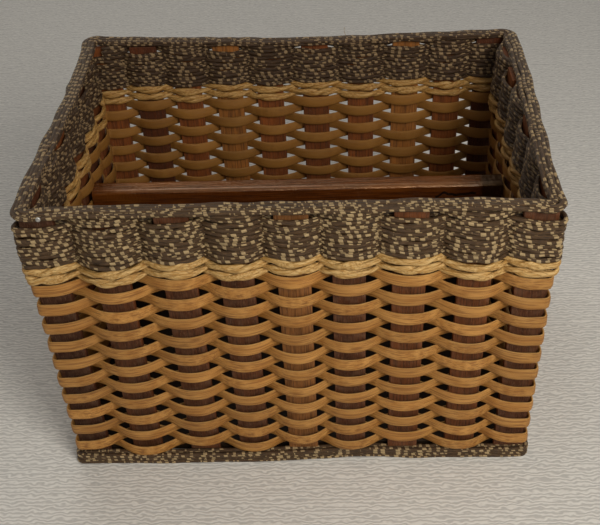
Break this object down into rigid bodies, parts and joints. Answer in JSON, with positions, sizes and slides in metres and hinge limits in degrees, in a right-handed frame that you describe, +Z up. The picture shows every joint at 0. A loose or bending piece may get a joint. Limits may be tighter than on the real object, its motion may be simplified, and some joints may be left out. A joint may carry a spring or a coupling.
{
  "type": "storage basket",
  "caption": "Rectangular woven basket: flat wooden stakes, flat reed rows, a light rope binding, a dark flecked twine band and rims, and a round-edged wooden cross bar inside.",
  "frame": {"origin": "centre of the foot border's underside, on the surface that the basket stands on", "axes": "+Z up; +X along the long wall, to the right seen from the front; +Y to the back, which has one stake more than the front"},
  "size_m": [0.403, 0.288, 0.2729],
  "materials": {
    "stake_brown": "stained red-brown slats, dusty and dull outside",
    "reed_tan": "natural flat oval reed, honey tan, satin",
    "light_rope": "twisted natural fibre rope, pale straw, slight sheen",
    "dark_twine": "dark grey-brown fibre twine with light tan flecks",
    "base_wood": "plain tan wood panel",
    "bar_varnish": "red-brown wood with a glossy varnish",
    "screw_steel": "plain steel screw"
  },
  "bodies": {
    "root": {"front_stake_1": "stake_brown", "front_stake_2": "stake_brown", "front_stake_3": "stake_brown", "front_stake_4": "stake_brown", "front_stake_5": "stake_brown", "front_stake_6": "stake_brown", "front_stake_7": "stake_brown", "front_stake_8": "stake_brown", "front_stake_9": "stake_brown", "right_stake_1": "stake_brown", "right_stake_2": "stake_brown", "right_stake_3": "stake_brown", "right_stake_4": "stake_brown", "right_stake_5": "stake_brown", "right_stake_6": "stake_brown", "back_stake_1": "stake_brown", "back_stake_2": "stake_brown", "back_stake_3": "stake_brown", "back_stake_4": "stake_brown", "back_stake_5": "stake_brown", "back_stake_6": "stake_brown", "back_stake_7": "stake_brown", "back_stake_8": "stake_brown", "back_stake_9": "stake_brown", "back_stake_10": "stake_brown", "left_stake_1": "stake_brown", "left_stake_2": "stake_brown", "left_stake_3": "stake_brown", "left_stake_4": "stake_brown", "left_stake_5": "stake_brown", "left_stake_6": "stake_brown", "reed_row_01": "reed_tan", "reed_row_02": "reed_tan", "reed_row_03": "reed_tan", "reed_row_04": "reed_tan", "reed_row_05": "reed_tan", "reed_row_06": "reed_tan", "reed_row_07": "reed_tan", "reed_row_08": "reed_tan", "reed_row_09": "reed_tan", "reed_row_10": "reed_tan", "reed_row_11": "reed_tan", "reed_row_12": "reed_tan", "reed_row_13": "reed_tan", "reed_row_14": "reed_tan", "reed_row_15": "reed_tan", "reed_row_16": "reed_tan", "reed_row_17": "reed_tan", "reed_row_18": "reed_tan", "reed_row_19": "reed_tan", "reed_row_20": "reed_tan", "light_rope": "light_rope", "dark_twine_band": "dark_twine", "top_twine_course": "dark_twine", "rim_border": "dark_twine", "foot_border": "dark_twine", "base_panel": "base_wood", "cross_bar": "bar_varnish", "left_bar_screw": "screw_steel", "right_bar_screw": "screw_steel"}
  },
  "joints": []
}
